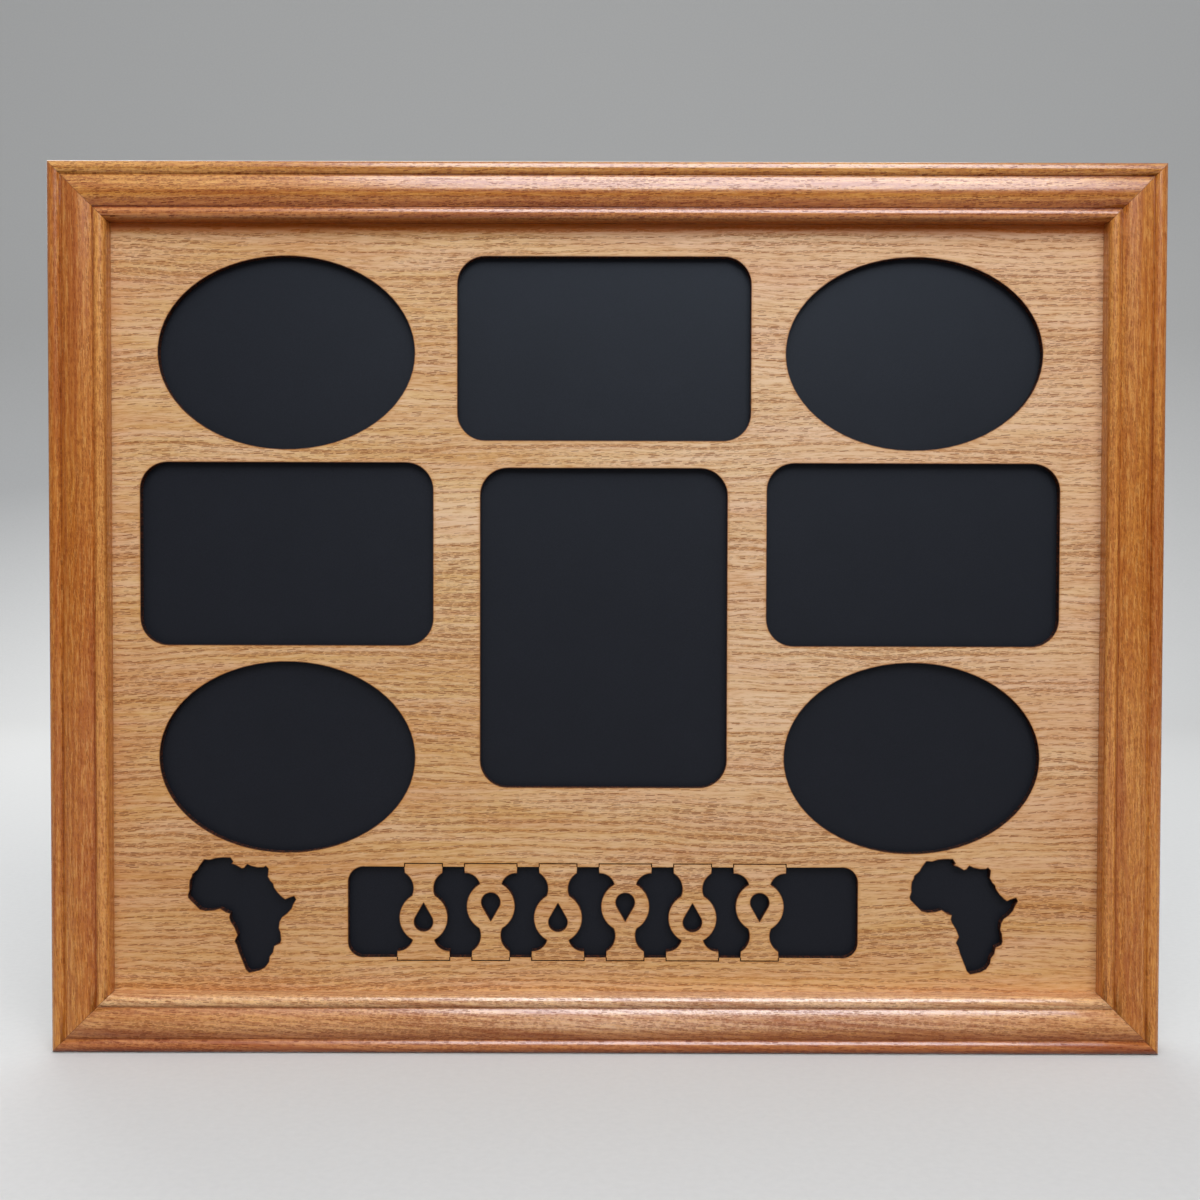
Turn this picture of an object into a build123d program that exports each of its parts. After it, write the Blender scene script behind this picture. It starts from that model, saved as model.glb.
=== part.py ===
from build123d import *
import math
import os

# Collage photo frame: a mitred oak moulding round a laser-cut oak mat, with a black
# card behind the windows and the boards and turn buttons that hold them from behind.
# Millimetres. X runs to the right, Z runs up and the front faces -Y. The origin is
# where a wall nail carries the frame: the middle notch of the sawtooth hanger, in
# the plane of the rails' rear faces. Left and right are as seen from the front.

# Opening that the moulding leaves open
sight_width = 342.9
sight_height = 266.7

# Moulding section, from the sight edge outward
rail_face = 20.0
rail_depth = 19.0
rabbet_width = 6.35
inner_bead_width = 4.0
inner_bead_drop = 0.8
outer_bead_width = 4.7
outer_bead_drop = 0.6
bead_radius_share = 0.55
crown_rise = 1.6
quirk_width = 0.35
quirk_depth = 0.25
rear_arris = 0.5

# Boards in the rabbet, from the front to the back
mat_thickness = 3.2
card_thickness = 1.4
filler_thickness = 3.0
backing_thickness = 3.2
board_side_gap = 0.8
backing_recess = 0.2

# Windows of the mat, as shares of the sight's width or height
oval_width_share = 7 / 27
oval_height_share = 1 / 4
landscape_width_share = 8 / 27
landscape_height_share = 5 / 21
portrait_width_share = 1 / 4
portrait_height_share = 5 / 12
window_corner_share = 0.15

# Bars of the mat between the windows and beside them, as shares of the sight
left_margin_share = 0.0283
right_margin_share = 0.0414
top_margin_share = 0.0416
gap_below_upper_ovals_share = 0.0169
gap_above_lower_ovals_share = 0.0214
gap_above_portrait_share = 0.0356
centre_column_shift_share = 0.0026

# Slot, as shares of the sight, and its open ends, as shares of the slot's width
slot_width_share = 14 / 27
slot_height_share = 5 / 42
slot_corner_share = 0.17
slot_margin_share = 0.0446
open_left_end_share = 0.0816
open_right_end_share = 0.126

# Fretwork band of balusters in the slot, and its engraved lines
baluster_count = 6
baluster_width_share = 0.78
kerf_width = 0.35
kerf_depth = 0.6
kerf_overlap = 1.3

# Continent cut-outs beside the slot, as shares of the sight
continent_width_share = 0.1097
continent_height_share = 0.1511
continent_gap_share = 0.0534
continent_margin_share = 0.024

# Turn buttons and their screws
button_length = 27.0
button_width = 11.0
button_tip_width = 8.0
button_thickness = 1.2
button_edge_radius = 0.3
button_gap = 0.15
button_spacing = 190.0
screw_radius = 1.45
screw_length = 11.0
screw_point = 2.5
screw_head_radius = 2.8
screw_head_height = 1.7
screw_running_gap = 0.07
pilot_clearance = 0.05
recess_length = 3.2
recess_width = 0.8
recess_depth = 0.9

# V-nails across the mitres
v_nail_leg = 5.0
v_nail_thickness = 0.5
v_nail_depth = 8.0
v_nail_place_shares = (0.34, 0.70)

# Sawtooth hanger and its nails
hanger_length = 46.0
hanger_height = 9.0
hanger_thickness = 0.8
hanger_tab = 8.0
hanger_ramp = 3.0
hanger_raise = 1.4
tooth_count = 9
tooth_pitch = 2.6
tooth_depth = 1.8
tooth_notch_share = 0.8
hanger_nail_radius = 0.8
hanger_nail_length = 9.0
hanger_nail_head_radius = 2.0
hanger_nail_head_height = 0.7
hanger_nail_clearance = 0.05

# Wall bumpers
bumper_radius = 5.0
bumper_height = 4.0
bumper_edge_radius = 0.8
bumper_inset = 16.0

# One overrun for every cut that has to pass a face
overrun = 1.0

# Places worked out from the sizes above
rabbet_depth = (
    mat_thickness + card_thickness + filler_thickness + backing_thickness + backing_recess
)
rear_face_width = rail_face - rabbet_width
rear_face_z = hanger_height / 2 - tooth_depth
top_edge_z = rear_face_z + rear_face_width / 2
centre_z = top_edge_z - rail_face - sight_height / 2
outer_width = sight_width + 2 * rail_face
outer_height = sight_height + 2 * rail_face
board_width = sight_width + 2 * (rabbet_width - board_side_gap)
board_height = sight_height + 2 * (rabbet_width - board_side_gap)
screw_inset = rear_face_width / 2

# Windows, bars, slot and continents at this sight's size
oval_width = sight_width * oval_width_share
oval_height = sight_height * oval_height_share
landscape_width = sight_width * landscape_width_share
landscape_height = sight_height * landscape_height_share
portrait_width = sight_width * portrait_width_share
portrait_height = sight_height * portrait_height_share
window_radius = landscape_height * window_corner_share
left_margin = sight_width * left_margin_share
right_margin = sight_width * right_margin_share
top_margin = sight_height * top_margin_share
gap_below_upper_ovals = sight_height * gap_below_upper_ovals_share
gap_above_lower_ovals = sight_height * gap_above_lower_ovals_share
gap_above_portrait = sight_height * gap_above_portrait_share
centre_column_shift = sight_width * centre_column_shift_share
slot_width = sight_width * slot_width_share
slot_height = sight_height * slot_height_share
slot_radius = slot_height * slot_corner_share
slot_margin = sight_height * slot_margin_share
open_left_end = slot_width * open_left_end_share
open_right_end = slot_width * open_right_end_share
continent_width = sight_width * continent_width_share
continent_height = sight_height * continent_height_share
continent_gap = sight_width * continent_gap_share
continent_margin = sight_height * continent_margin_share

# Coast of the continent, hand-chosen as shares of the cut-out's width and height,
# clockwise from its north-west corner
continent_coast_shares = (
    (0.152, 0.981), (0.202, 0.978), (0.256, 0.993), (0.325, 1.000), (0.393, 0.999),
    (0.418, 0.964), (0.403, 0.946), (0.440, 0.934), (0.499, 0.904), (0.522, 0.910),
    (0.549, 0.942), (0.587, 0.925), (0.650, 0.913), (0.703, 0.915), (0.722, 0.926),
    (0.746, 0.902), (0.738, 0.835), (0.761, 0.796), (0.786, 0.773), (0.796, 0.738),
    (0.830, 0.692), (0.869, 0.656), (0.900, 0.635), (0.934, 0.649), (0.984, 0.664),
    (1.000, 0.636), (0.973, 0.596), (0.957, 0.556), (0.915, 0.513), (0.869, 0.481),
    (0.846, 0.442), (0.838, 0.384), (0.853, 0.349), (0.860, 0.284), (0.850, 0.256),
    (0.796, 0.231), (0.784, 0.177), (0.753, 0.137), (0.746, 0.091), (0.711, 0.044),
    (0.657, 0.018), (0.603, 0.006), (0.564, 0.000), (0.535, 0.026), (0.522, 0.062),
    (0.472, 0.177), (0.452, 0.241), (0.433, 0.270), (0.443, 0.291), (0.460, 0.324),
    (0.433, 0.388), (0.395, 0.445), (0.383, 0.477), (0.392, 0.513), (0.352, 0.524),
    (0.310, 0.549), (0.295, 0.558), (0.241, 0.543), (0.163, 0.536), (0.109, 0.549),
    (0.071, 0.585), (0.032, 0.621), (0.005, 0.649), (0.000, 0.671), (0.015, 0.714),
    (0.013, 0.749), (0.019, 0.800), (0.036, 0.828), (0.041, 0.853), (0.090, 0.893),
    (0.106, 0.925), (0.137, 0.964),
)

# Half outline of a baluster, as shares of half its width and of the slot's height:
# foot, neck, bulb and cap, where each curve is given by its start, middle and end
baluster_foot_shares = ((1.00, 0.00), (1.00, 0.07))
baluster_cove_shares = ((1.00, 0.07), (0.60, 0.11), (0.42, 0.19))
baluster_bulb_shares = ((0.42, 0.19), (0.92, 0.42), (0.44, 0.68))
baluster_neck_shares = ((0.44, 0.68), (0.40, 0.80), (0.72, 0.93))
baluster_cap_shares = ((0.72, 0.93), (0.72, 1.00))
drop_centre_share = 0.39
drop_tip_share = 0.60
drop_radius_share = 0.36


def front_plane(depth):
    """Plane that faces the front at this distance in front of the rails' rear faces."""
    return Plane.XZ.offset(depth)


def forward_solid(outline, depth, amount):
    """Solid that grows forward by this amount from a plane this far in front of the back."""
    return extrude(front_plane(depth) * outline, amount, dir=(0, -1, 0))


def rear_axis(x, z, height):
    """Plane whose Z axis points out of the back of the frame."""
    return Plane(origin=(x, height, z), x_dir=(1, 0, 0), z_dir=(0, 1, 0))


def circle_point(centre, radius, angle):
    """Point on a circle in the section's plane."""
    across = centre[0] + radius * math.cos(angle)
    forward = centre[1] + radius * math.sin(angle)
    return (across, forward)


def inner_bead():
    """Arc of the inner bead and its end beside the quirk."""
    radius = inner_bead_width * bead_radius_share
    centre = (radius, rail_depth - inner_bead_drop - radius)
    end_angle = math.acos((inner_bead_width - radius) / radius)
    start = circle_point(centre, radius, math.pi)
    middle = circle_point(centre, radius, (math.pi + end_angle) / 2)
    end = circle_point(centre, radius, end_angle)
    return start, middle, end


def outer_bead():
    """Arc of the outer bead, from the quirk to the flat outer side."""
    radius = outer_bead_width * bead_radius_share
    centre = (rail_face - radius, rail_depth - outer_bead_drop - radius)
    start_angle = math.pi - math.acos((outer_bead_width - radius) / radius)
    start = circle_point(centre, radius, start_angle)
    middle = circle_point(centre, radius, start_angle / 2)
    end = circle_point(centre, radius, 0)
    return start, middle, end


def rail_section():
    """Moulding section: x is outward from the sight edge, y is forward from the back."""
    bead_in = inner_bead()
    bead_out = outer_bead()
    crown_edge = rail_depth - crown_rise
    quirk_floor = crown_edge - quirk_depth
    crown_start = inner_bead_width + quirk_width
    crown_end = rail_face - outer_bead_width - quirk_width
    crown_middle = (crown_start + crown_end) / 2
    edges = [
        Line((0, rabbet_depth), bead_in[0]),
        ThreePointArc(*bead_in),
        Polyline(
            bead_in[2],
            (inner_bead_width, quirk_floor),
            (crown_start, quirk_floor),
            (crown_start, crown_edge),
        ),
        ThreePointArc(
            (crown_start, crown_edge), (crown_middle, rail_depth), (crown_end, crown_edge)
        ),
        Polyline(
            (crown_end, crown_edge),
            (crown_end, quirk_floor),
            (rail_face - outer_bead_width, quirk_floor),
            bead_out[0],
        ),
        ThreePointArc(*bead_out),
        Polyline(
            bead_out[2],
            (rail_face, rear_arris),
            (rail_face - rear_arris, 0),
            (rabbet_width, 0),
            (rabbet_width, rabbet_depth),
            (0, rabbet_depth),
        ),
    ]
    return make_face(edges)


def mitred_rail(outward, half_opening, half_length):
    """One length of moulding: outward points from the sight centre across the rail."""
    forward = Vector(0, -1, 0)
    origin = Vector(0, 0, centre_z) + outward * half_opening
    along = outward.cross(forward)
    section_plane = Plane(origin=origin, x_dir=outward, z_dir=along)
    stock = extrude(section_plane * rail_section(), half_length + rail_face, both=True)
    face_plane = Plane(origin=origin, x_dir=along, z_dir=forward)
    reach = rail_face + overrun
    direction = 1 if face_plane.y_dir.dot(outward) > 0 else -1
    mitres = Polygon(
        (-half_length, 0),
        (half_length, 0),
        (half_length + reach, direction * reach),
        (-half_length - reach, direction * reach),
        align=None,
    )
    keep = extrude(face_plane * mitres, rail_depth + overrun, both=True)
    return stock & keep


def v_nail(side, level, place_share):
    """One V-nail: its bend lies on the mitre and each leg runs into one rail."""
    inset = rear_face_width * place_share
    x = side * (outer_width / 2 - inset)
    z = centre_z + level * (outer_height / 2 - inset)
    length = v_nail_leg + v_nail_thickness / 2
    shift = (v_nail_leg - v_nail_thickness / 2) / 2
    leg_across = Pos(-side * shift, 0) * Rectangle(length, v_nail_thickness)
    leg_along = Pos(0, -level * shift) * Rectangle(v_nail_thickness, length)
    outline = Pos(x, z) * (leg_across + leg_along)
    return forward_solid(outline, 0, v_nail_depth)


def all_v_nails():
    """Two V-nails at each of the four mitres."""
    nails = []
    for side in (-1, 1):
        for level in (-1, 1):
            for place_share in v_nail_place_shares:
                nails.append(v_nail(side, level, place_share))
    return nails


def window_outlines():
    """Windows of the mat in its own plane, measured from the sight centre."""
    left_x = -sight_width / 2 + left_margin + landscape_width / 2
    right_x = sight_width / 2 - right_margin - landscape_width / 2
    middle_x = -centre_column_shift
    window_top = sight_height / 2 - top_margin
    upper_oval_z = window_top - oval_height / 2
    side_z = window_top - oval_height - gap_below_upper_ovals - landscape_height / 2
    lower_oval_z = side_z - landscape_height / 2 - gap_above_lower_ovals - oval_height / 2
    upper_landscape_z = window_top - landscape_height / 2
    portrait_z = window_top - landscape_height - gap_above_portrait - portrait_height / 2
    oval = Ellipse(oval_width / 2, oval_height / 2)
    landscape = RectangleRounded(landscape_width, landscape_height, window_radius)
    portrait = RectangleRounded(portrait_width, portrait_height, window_radius)
    outlines = [
        Pos(middle_x, upper_landscape_z) * landscape,
        Pos(middle_x, portrait_z) * portrait,
    ]
    for x in (left_x, right_x):
        outlines.append(Pos(x, upper_oval_z) * oval)
        outlines.append(Pos(x, side_z) * landscape)
        outlines.append(Pos(x, lower_oval_z) * oval)
    return outlines


def baluster_curve(shares, half_width):
    """Three-point arc through shares of half the baluster's width and the slot's height."""
    points = [(across * half_width, up * slot_height) for across, up in shares]
    return ThreePointArc(*points)


def baluster_line(shares, half_width):
    """Straight edge between shares of half the baluster's width and the slot's height."""
    points = [(across * half_width, up * slot_height) for across, up in shares]
    return Line(*points)


def drop_outline(half_width):
    """Pierced drop in a baluster's bulb: a circle drawn up to a point."""
    radius = drop_radius_share * half_width
    centre_y = drop_centre_share * slot_height
    tip_y = drop_tip_share * slot_height
    touch = math.acos(radius / (tip_y - centre_y))
    side_x = radius * math.sin(touch)
    side_y = centre_y + radius * math.cos(touch)
    point = Polygon((-side_x, side_y), (side_x, side_y), (0, tip_y), align=None)
    return Pos(0, centre_y) * Circle(radius) + point


def baluster_outline(half_width):
    """One pierced baluster that stands on the slot's lower edge and meets its upper edge."""
    right_side = Curve() + [
        baluster_line(baluster_foot_shares, half_width),
        baluster_curve(baluster_cove_shares, half_width),
        baluster_curve(baluster_bulb_shares, half_width),
        baluster_curve(baluster_neck_shares, half_width),
        baluster_line(baluster_cap_shares, half_width),
    ]
    left_side = mirror(right_side, about=Plane.YZ)
    foot_x = baluster_foot_shares[0][0] * half_width
    cap_x = baluster_cap_shares[-1][0] * half_width
    foot = Line((-foot_x, 0), (foot_x, 0))
    cap = Line((-cap_x, slot_height), (cap_x, slot_height))
    return make_face(right_side.edges() + left_side.edges() + [foot, cap]) - drop_outline(half_width)


def baluster_places():
    """Middle of each baluster along the slot, and whether it stands foot down."""
    pitch = (slot_width - open_left_end - open_right_end) / baluster_count
    start = -centre_column_shift - slot_width / 2 + open_left_end + pitch / 2
    places = [(start + index * pitch, index % 2 == 0) for index in range(baluster_count)]
    return places, pitch * baluster_width_share / 2


def slot_z():
    """Height of the slot's middle above the sight centre."""
    return -sight_height / 2 + slot_margin + slot_height / 2


def slot_outline():
    """Open part of the slot: the rounded slot less the balusters that bridge it."""
    outline = Pos(-centre_column_shift, slot_z()) * RectangleRounded(slot_width, slot_height, slot_radius)
    places, half_width = baluster_places()
    upright = Pos(0, slot_z() - slot_height / 2) * baluster_outline(half_width)
    inverted = mirror(upright, about=Plane.XZ.offset(-slot_z()))
    for x, foot_down in places:
        outline -= Pos(x, 0) * (upright if foot_down else inverted)
    return outline


def kerf_outlines():
    """Fine engraved lines where each baluster's foot and cap run on into the mat."""
    places, half_width = baluster_places()
    foot_width = 2 * half_width * baluster_foot_shares[0][0]
    cap_width = 2 * half_width * baluster_cap_shares[-1][0]
    lines = []
    for x, foot_down in places:
        for level in (-1, 1):
            at_foot = foot_down == (level < 0)
            width = foot_width if at_foot else cap_width
            edge_z = slot_z() + level * slot_height / 2
            ring = Rectangle(width + kerf_width, 2 * kerf_overlap)
            ring -= Rectangle(width - kerf_width, 2 * (kerf_overlap - kerf_width))
            ring -= Pos(0, -level * kerf_overlap / 2) * Rectangle(width + kerf_width, kerf_overlap)
            lines.append(Pos(x, edge_z) * ring)
    return lines


def continent_outline():
    """Cut-out in the shape of the continent, centred on its own middle."""
    points = [
        ((across - 0.5) * continent_width, (up - 0.5) * continent_height)
        for across, up in continent_coast_shares
    ]
    return Polygon(*points, align=None)


def continent_outlines():
    """The two continent cut-outs, one beyond each end of the slot."""
    reach = slot_width / 2 + continent_gap + continent_width / 2
    level = -sight_height / 2 + continent_margin + continent_height / 2
    return [
        Pos(-centre_column_shift - reach, level) * continent_outline(),
        Pos(-centre_column_shift + reach, level) * continent_outline(),
    ]


def board(back_depth, thickness):
    """Flat board that fills the rabbet, with its back face at back_depth."""
    outline = Pos(0, centre_z) * Rectangle(board_width, board_height)
    return forward_solid(outline, back_depth, thickness)


def make_mat():
    """Laser-cut oak mat with its windows, slot, continents and engraved lines."""
    mat_back = rabbet_depth - mat_thickness
    mat = board(mat_back, mat_thickness)
    middle = Pos(0, centre_z)
    for outline in window_outlines() + [slot_outline()] + continent_outlines():
        mat -= forward_solid(middle * outline, mat_back - overrun, mat_thickness + 2 * overrun)
    for outline in kerf_outlines():
        mat -= forward_solid(middle * outline, rabbet_depth - kerf_depth, kerf_depth + overrun)
    return mat


def screw_places():
    """Name, place and inward direction of each turn button's screw."""
    upper_z = top_edge_z - screw_inset
    lower_z = centre_z - outer_height / 2 + screw_inset
    side_x = outer_width / 2 - screw_inset
    return {
        "upper_left_turn_button": (-button_spacing / 2, upper_z, -90),
        "upper_right_turn_button": (button_spacing / 2, upper_z, -90),
        "lower_left_turn_button": (-button_spacing / 2, lower_z, 90),
        "lower_right_turn_button": (button_spacing / 2, lower_z, 90),
        "left_turn_button": (-side_x, centre_z, 0),
        "right_turn_button": (side_x, centre_z, 180),
    }


def make_turn_button(x, z, angle):
    """Flat tapered button whose wide end turns on the screw and whose tip holds the boards."""
    tip_x = button_length - button_width / 2 - button_tip_width / 2
    outline = make_hull((Circle(button_width / 2) + Pos(tip_x, 0) * Circle(button_tip_width / 2)).edges())
    plate = extrude(outline, button_thickness)
    plate = fillet(plate.edges().group_by(Axis.Z)[-1], button_edge_radius)
    bore = Cylinder(screw_radius + screw_running_gap, button_thickness + 2 * overrun)
    plate -= Pos(0, 0, button_thickness / 2) * bore
    return rear_axis(x, z, button_gap) * Rot(0, 0, -angle) * plate


def dome_radius(reach, rise):
    """Radius of a dome that rises this much over this reach from its axis."""
    return (reach ** 2 + rise ** 2) / (2 * rise)


def make_screw(x, z):
    """Pan-head screw with a cross recess, along the Z axis of its plane, head outward."""
    seat = button_thickness + 2 * button_gap
    rim = seat + screw_head_height / 3
    top = seat + screw_head_height
    tip = seat - screw_length
    profile = make_face(
        [
            Line((0, tip), (screw_radius, tip + screw_point)),
            Line((screw_radius, tip + screw_point), (screw_radius, seat)),
            Line((screw_radius, seat), (screw_head_radius, seat)),
            Line((screw_head_radius, seat), (screw_head_radius, rim)),
            RadiusArc((screw_head_radius, rim), (0, top), -dome_radius(screw_head_radius, top - rim)),
            Line((0, top), (0, tip)),
        ]
    )
    screw = revolve(Plane.XZ * profile, axis=Axis.Z)
    slit = Box(recess_length, recess_width, 2 * recess_depth)
    screw -= Pos(0, 0, top) * slit
    screw -= Pos(0, 0, top) * Rot(0, 0, 90) * slit
    return rear_axis(x, z, 0) * screw


def pilot_holes():
    """Holes in the rails for the turn buttons' screws."""
    depth = screw_length - button_thickness - 2 * button_gap
    radius = screw_radius + pilot_clearance
    holes = []
    for x, z, _ in screw_places().values():
        hole = extrude(Circle(radius), -depth) + extrude(Circle(radius), overrun)
        holes.append(rear_axis(x, z, 0) * hole)
    return holes


def hanger_nail_x():
    """Distance of each hanger nail from the middle of the frame."""
    return hanger_length / 2 - hanger_tab / 2


def make_hanger():
    """Bent steel strip with a toothed lower edge, flat on the rail at both ends."""
    half = hanger_length / 2
    ramp_start = half - hanger_tab
    ramp_end = ramp_start - hanger_ramp
    outer = hanger_raise + hanger_thickness
    right_side = [
        (ramp_end, hanger_raise), (ramp_start, 0), (half, 0),
        (half, hanger_thickness), (ramp_start, hanger_thickness), (ramp_end, outer),
    ]
    left_side = [(-x, y) for x, y in reversed(right_side)]
    bottom_z = rear_face_z - hanger_height / 2
    strip_plane = Plane.XY.offset(bottom_z)
    strip = Polygon(*right_side, *left_side, align=None)
    hanger = extrude(strip_plane * strip, hanger_height, dir=(0, 0, 1))
    half_notch = tooth_pitch * tooth_notch_share / 2
    notch = Polygon((-half_notch, 0), (0, tooth_depth), (half_notch, 0), align=None)
    notch += Pos(0, -overrun / 2) * Rectangle(2 * half_notch, overrun)
    for index in range(tooth_count):
        x = (index - (tooth_count - 1) / 2) * tooth_pitch
        hanger -= extrude(front_plane(0) * (Pos(x, bottom_z) * notch), outer + overrun, both=True)
    hole = Cylinder(hanger_nail_radius + hanger_nail_clearance, 2 * (hanger_thickness + overrun))
    for side in (-1, 1):
        hanger -= rear_axis(side * hanger_nail_x(), rear_face_z, 0) * hole
    return hanger


def make_hanger_nail(x):
    """Round-headed nail through one end of the hanger."""
    seat = hanger_thickness
    top = seat + hanger_nail_head_height
    tip = seat - hanger_nail_length
    shoulder = tip + hanger_nail_radius
    head_dome = dome_radius(hanger_nail_head_radius, hanger_nail_head_height)
    profile = make_face(
        [
            Line((0, tip), (hanger_nail_radius, shoulder)),
            Line((hanger_nail_radius, shoulder), (hanger_nail_radius, seat)),
            Line((hanger_nail_radius, seat), (hanger_nail_head_radius, seat)),
            RadiusArc((hanger_nail_head_radius, seat), (0, top), -head_dome),
            Line((0, top), (0, tip)),
        ]
    )
    return rear_axis(x, rear_face_z, 0) * revolve(Plane.XZ * profile, axis=Axis.Z)


def hanger_nail_holes():
    """Holes in the top rail for the hanger's nails."""
    depth = hanger_nail_length - hanger_thickness
    hole = Cylinder(hanger_nail_radius + hanger_nail_clearance, 2 * depth)
    return [rear_axis(side * hanger_nail_x(), rear_face_z, 0) * hole for side in (-1, 1)]


def make_bumper(side):
    """Round pad on the bottom rail that keeps the frame off the wall."""
    x = side * (outer_width / 2 - bumper_inset)
    z = centre_z - outer_height / 2 + screw_inset
    pad = extrude(Circle(bumper_radius), bumper_height)
    pad = fillet(pad.edges().group_by(Axis.Z)[-1], bumper_edge_radius)
    return rear_axis(x, z, 0) * pad


def make_rails(nails):
    """The four mitred rails, with their nail slots and screw holes."""
    half_width = sight_width / 2
    half_height = sight_height / 2
    rails = {
        "top_rail": mitred_rail(Vector(0, 0, 1), half_height, half_width),
        "bottom_rail": mitred_rail(Vector(0, 0, -1), half_height, half_width),
        "left_stile": mitred_rail(Vector(-1, 0, 0), half_width, half_height),
        "right_stile": mitred_rail(Vector(1, 0, 0), half_width, half_height),
    }
    cutters = nails + pilot_holes() + hanger_nail_holes()
    for name in rails:
        rails[name] = rails[name] - cutters
    return rails


def make_parts():
    """Every node of the frame by name."""
    nails = all_v_nails()
    parts = make_rails(nails)
    parts["corner_v_nails"] = Compound(children=nails)
    filler_back = backing_recess + backing_thickness
    card_back = filler_back + filler_thickness
    parts["oak_mat"] = make_mat()
    parts["black_card"] = board(card_back, card_thickness)
    parts["filler_board"] = board(filler_back, filler_thickness)
    parts["backing_board"] = board(backing_recess, backing_thickness)
    screws = []
    for name, (x, z, angle) in screw_places().items():
        parts[name] = make_turn_button(x, z, angle)
        screws.append(make_screw(x, z))
    parts["turn_button_screws"] = Compound(children=screws)
    parts["sawtooth_hanger"] = make_hanger()
    hanger_nails = [make_hanger_nail(side * hanger_nail_x()) for side in (-1, 1)]
    parts["hanger_nails"] = Compound(children=hanger_nails)
    parts["left_wall_bumper"] = make_bumper(-1)
    parts["right_wall_bumper"] = make_bumper(1)
    return parts


os.makedirs("parts", exist_ok=True)
for node, shape in make_parts().items():
    export_step(shape, f"parts/{node}.step")
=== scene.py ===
# %% [markdown]
# A collage photo frame: a mitred oak moulding round a thin oak mat whose windows
# were cut with a laser, with black card behind them and boards, turn buttons and a
# sawtooth hanger at the back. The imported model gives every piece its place. X is to
# the right, Z is up and the front faces -Y. All lengths here are in metres, and a
# length written as so many * MM is in millimetres.

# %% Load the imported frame
import bmesh
import bpy
import math
import numpy as np
from mathutils import Matrix, Vector
from mathutils.geometry import delaunay_2d_cdt


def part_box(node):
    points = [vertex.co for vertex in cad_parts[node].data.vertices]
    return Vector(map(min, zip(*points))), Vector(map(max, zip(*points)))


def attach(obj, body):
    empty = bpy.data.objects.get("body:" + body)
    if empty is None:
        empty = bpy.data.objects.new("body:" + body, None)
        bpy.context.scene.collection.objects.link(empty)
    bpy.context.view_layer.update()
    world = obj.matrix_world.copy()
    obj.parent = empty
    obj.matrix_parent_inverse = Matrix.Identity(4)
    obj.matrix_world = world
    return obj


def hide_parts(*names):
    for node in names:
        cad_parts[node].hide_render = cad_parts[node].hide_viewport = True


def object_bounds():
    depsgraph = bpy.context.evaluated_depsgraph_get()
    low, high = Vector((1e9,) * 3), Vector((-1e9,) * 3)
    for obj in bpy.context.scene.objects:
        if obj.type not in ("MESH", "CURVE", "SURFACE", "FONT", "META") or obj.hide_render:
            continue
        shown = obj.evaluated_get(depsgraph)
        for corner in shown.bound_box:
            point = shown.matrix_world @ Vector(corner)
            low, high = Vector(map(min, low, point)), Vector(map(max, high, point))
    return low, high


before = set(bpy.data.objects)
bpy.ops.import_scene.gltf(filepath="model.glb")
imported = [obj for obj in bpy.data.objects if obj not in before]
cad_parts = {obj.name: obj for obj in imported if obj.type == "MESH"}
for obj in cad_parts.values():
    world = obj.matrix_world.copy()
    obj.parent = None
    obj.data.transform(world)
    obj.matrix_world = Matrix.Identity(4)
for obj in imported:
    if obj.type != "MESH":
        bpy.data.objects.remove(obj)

MM = 0.001
SAME_PLACE = 1e-6
cad_low, cad_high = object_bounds()
print("box in mm:", [round(v / MM, 1) for v in cad_high - cad_low])

# %% Places that the other cells share
mat_low, mat_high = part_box("oak_mat")
rail_low, rail_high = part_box("left_stile")
RAIL_FACE = rail_high.x - rail_low.x
RAIL_DEPTH = -rail_low.y
MAT_FRONT = mat_low.y
SIGHT_HALF_WIDTH = -rail_high.x
SIGHT_HALF_HEIGHT = (rail_high.z - rail_low.z) / 2 - RAIL_FACE
CENTRE_Z = (rail_low.z + rail_high.z) / 2
FLOOR_Z = cad_low.z
print("sight in mm:", round(2 * SIGHT_HALF_WIDTH / MM, 1), "by", round(2 * SIGHT_HALF_HEIGHT / MM, 1))

# %% [markdown]
# The camera comes first, because it decides how large each detail shows. Its place
# and lens were fitted to the corners of the moulding and to the edges of the
# windows: it stands half a metre in front of the mat and about 15 mm above the
# middle of the frame, and looks down by a little over one degree.

# %% Camera
PICTURE_PIXELS = 1200
FOCAL_PIXELS = 1438.7
CAMERA_DISTANCE = 500 * MM
CAMERA_ASIDE = -2.16 * MM
CAMERA_ABOVE = 3.53 * MM
CAMERA_TILT = math.radians(1.341)
CAMERA_ROLL = math.radians(0.140)

camera_data = bpy.data.cameras.new("camera")
camera_data.sensor_width = 36.0
camera_data.lens = camera_data.sensor_width * FOCAL_PIXELS / PICTURE_PIXELS
camera_data.clip_start = 0.01
camera = bpy.data.objects.new("camera", camera_data)
bpy.context.collection.objects.link(camera)
camera.matrix_world = (
    Matrix.Translation((0, MAT_FRONT, CENTRE_Z))
    @ Matrix.Rotation(math.pi / 2 - CAMERA_TILT, 4, "X")
    @ Matrix.Rotation(CAMERA_ROLL, 4, "Z")
    @ Matrix.Translation((CAMERA_ASIDE, CAMERA_ABOVE, CAMERA_DISTANCE))
)
bpy.context.scene.camera = camera
print("lens in mm:", round(camera_data.lens, 2))
print("camera's place:", [round(v, 3) for v in camera.matrix_world.translation])

# %% [markdown]
# Shader maths reads best as plain arithmetic. A Socket wraps one output of a node,
# so that adding or multiplying sockets adds Math nodes, and a Finish holds one
# material and has a single method that adds any node: its settings go in first,
# because some of them decide which sockets the node has.

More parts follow.
